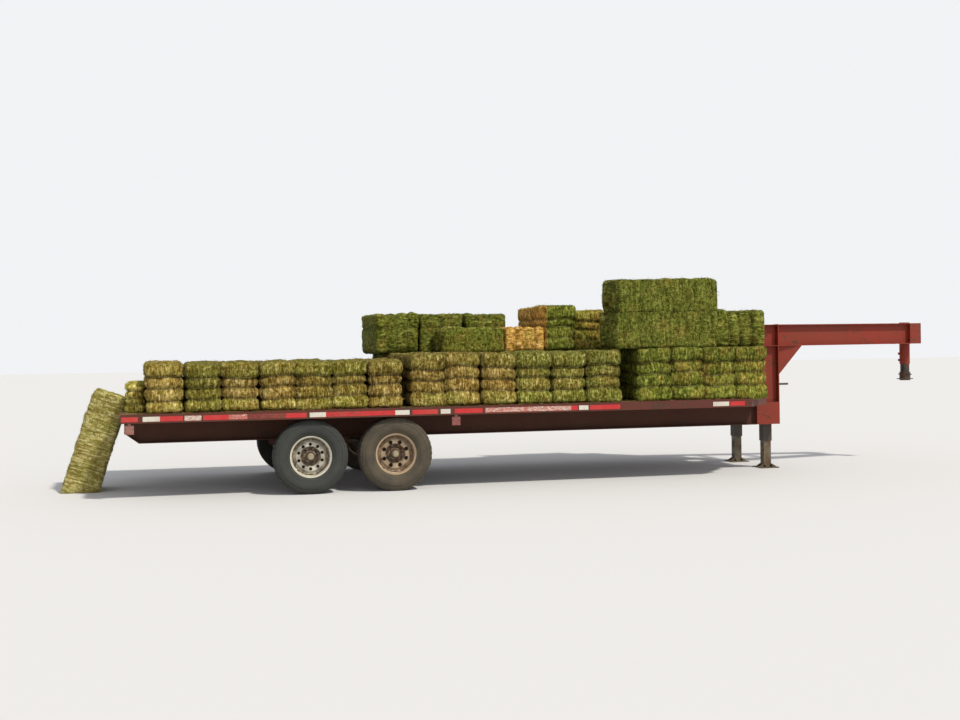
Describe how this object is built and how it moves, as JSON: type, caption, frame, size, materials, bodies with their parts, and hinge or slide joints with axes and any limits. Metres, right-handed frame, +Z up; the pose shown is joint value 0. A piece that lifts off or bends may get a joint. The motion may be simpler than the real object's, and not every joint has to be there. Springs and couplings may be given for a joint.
{
  "type": "loaded gooseneck flatbed hay trailer",
  "caption": "Flatbed gooseneck trailer on a tandem axle, parked on jacks, its plank deck stacked with tied hay bales.",
  "frame": {"origin": "on the ground under the middle of the whole length and width", "axes": "+X forward to the coupler, +Y left, +Z up"},
  "size_m": [10.2744, 2.59, 2.204],
  "materials": {
    "frame_paint": "weathered red paint",
    "beam_paint": "dull dark red paint, dusty",
    "deck_wood": "weathered rough-sawn planks",
    "dark_steel": "greasy dark steel",
    "jack_paint": "chipped black paint",
    "rusty_steel": "rusty bare steel",
    "marker_red": "faded reflector",
    "lamp_lens": "moulded red lens",
    "tyre": "dusty rubber",
    "rim_silver": "worn silver paint",
    "rim_tan": "rusty tan paint",
    "hay_straw": "cut straw, matte",
    "hay_gold": "dried hay, matte",
    "hay_mixed": "mixed hay, matte",
    "hay_green": "green hay, matte"
  },
  "bodies": {
    "root": {"rear_header": "frame_paint", "side_rail_left": "frame_paint", "side_rail_right": "frame_paint", "front_frame": "frame_paint", "deck_boards": "deck_wood", "main_beams": "beam_paint", "cross_members": "beam_paint", "wheel_pans": "beam_paint", "risers": "frame_paint", "neck_beams": "frame_paint", "neck_ties": "frame_paint", "knee_gussets": "frame_paint", "coupler_block": "frame_paint", "coupler_tube": "frame_paint", "coupler": "dark_steel", "jack_tubes": "jack_paint", "jack_shaft": "dark_steel", "jack_handle": "dark_steel", "jack_brace": "frame_paint", "leaf_springs": "rusty_steel", "spring_hangers": "beam_paint", "equalisers": "rusty_steel", "marker_plates": "marker_red", "tail_lamps": "lamp_lens", "axle_rear": "dark_steel", "axle_front": "dark_steel", "hay_leaning": "hay_mixed", "hay_rear": "hay_straw", "hay_near_rear": "hay_gold", "hay_near_middle": "hay_mixed", "hay_near_front": "hay_green", "hay_far_rear": "hay_gold", "hay_far_front": "hay_mixed", "hay_second_middle": "hay_green", "hay_second_far": "hay_green", "hay_second_front": "hay_green", "hay_top": "hay_green"},
    "wheel_rear_left": {"tyre_rear_left": "tyre", "rim_rear_left": "rim_silver", "hub_rear_left": "dark_steel"},
    "wheel_rear_right": {"tyre_rear_right": "tyre", "rim_rear_right": "rim_silver", "hub_rear_right": "dark_steel"},
    "wheel_front_left": {"tyre_front_left": "tyre", "rim_front_left": "rim_tan", "hub_front_left": "dark_steel"},
    "wheel_front_right": {"tyre_front_right": "tyre", "rim_front_right": "rim_tan", "hub_front_right": "dark_steel"},
    "jack_left": {"jack_leg_left": "rusty_steel"},
    "jack_right": {"jack_leg_right": "rusty_steel"}
  },
  "joints": [
    {"name": "wheel_rear_left_spin", "type": "hinge", "parent": "root", "child": "wheel_rear_left", "pos_m": [-2.58957, 1.1375, 0.385], "axis": [0, 1, 0], "continuous": true},
    {"name": "wheel_rear_right_spin", "type": "hinge", "parent": "root", "child": "wheel_rear_right", "pos_m": [-2.58957, -1.1375, 0.385], "axis": [0, 1, 0], "continuous": true},
    {"name": "wheel_front_left_spin", "type": "hinge", "parent": "root", "child": "wheel_front_left", "pos_m": [-1.70057, 1.1375, 0.385], "axis": [0, 1, 0], "continuous": true},
    {"name": "wheel_front_right_spin", "type": "hinge", "parent": "root", "child": "wheel_front_right", "pos_m": [-1.70057, -1.1375, 0.385], "axis": [0, 1, 0], "continuous": true},
    {"name": "jack_left_lift", "type": "slide", "parent": "root", "child": "jack_left", "axis": [0, 0, 1], "range_m": [0, 0.25]},
    {"name": "jack_right_lift", "type": "slide", "parent": "root", "child": "jack_right", "axis": [0, 0, 1], "range_m": [0, 0.25]}
  ]
}
